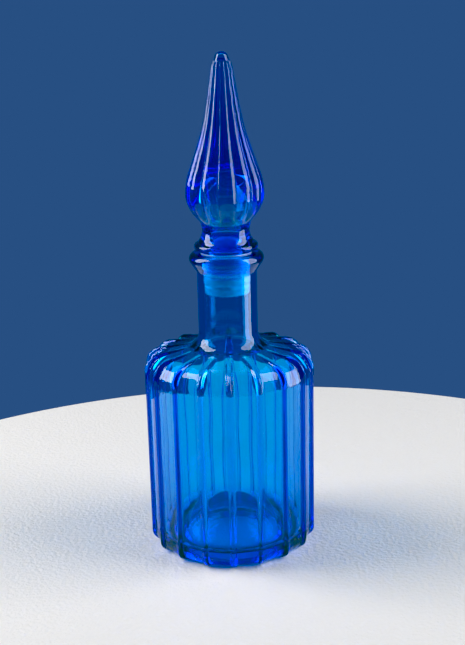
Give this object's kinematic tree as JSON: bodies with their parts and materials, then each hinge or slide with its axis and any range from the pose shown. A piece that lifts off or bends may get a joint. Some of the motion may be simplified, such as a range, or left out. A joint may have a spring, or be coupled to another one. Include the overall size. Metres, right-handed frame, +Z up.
{
  "type": "decanter",
  "caption": "Ribbed round glass decanter with a tall lobed glass spire stopper, sealed in the neck by a moulded plastic sleeve.",
  "frame": {"origin": "centre of the face the bottle stands on", "axes": "+Z up along the bottle's axis, -Y towards the front, where one rib faces"},
  "size_m": [0.092, 0.0934, 0.2699],
  "materials": {
    "blue_glass": "polished, transparent, coloured in the mass",
    "clear_plastic": "natural polyethylene, translucent, soft gloss"
  },
  "bodies": {
    "bottle_body": {"bottle": "blue_glass"},
    "sleeve_body": {"stopper_sleeve": "clear_plastic"},
    "stopper_body": {"stopper": "blue_glass"}
  },
  "joints": [
    {"name": "stopper_lift", "type": "slide", "parent": "bottle_body", "child": "sleeve_body", "axis": [0, 0, 1], "range_m": [0, 0.045]},
    {"name": "stopper_twist", "type": "hinge", "parent": "sleeve_body", "child": "stopper_body", "pos_m": [0, 0, 0.166], "axis": [0, 0, 1], "continuous": true}
  ]
}
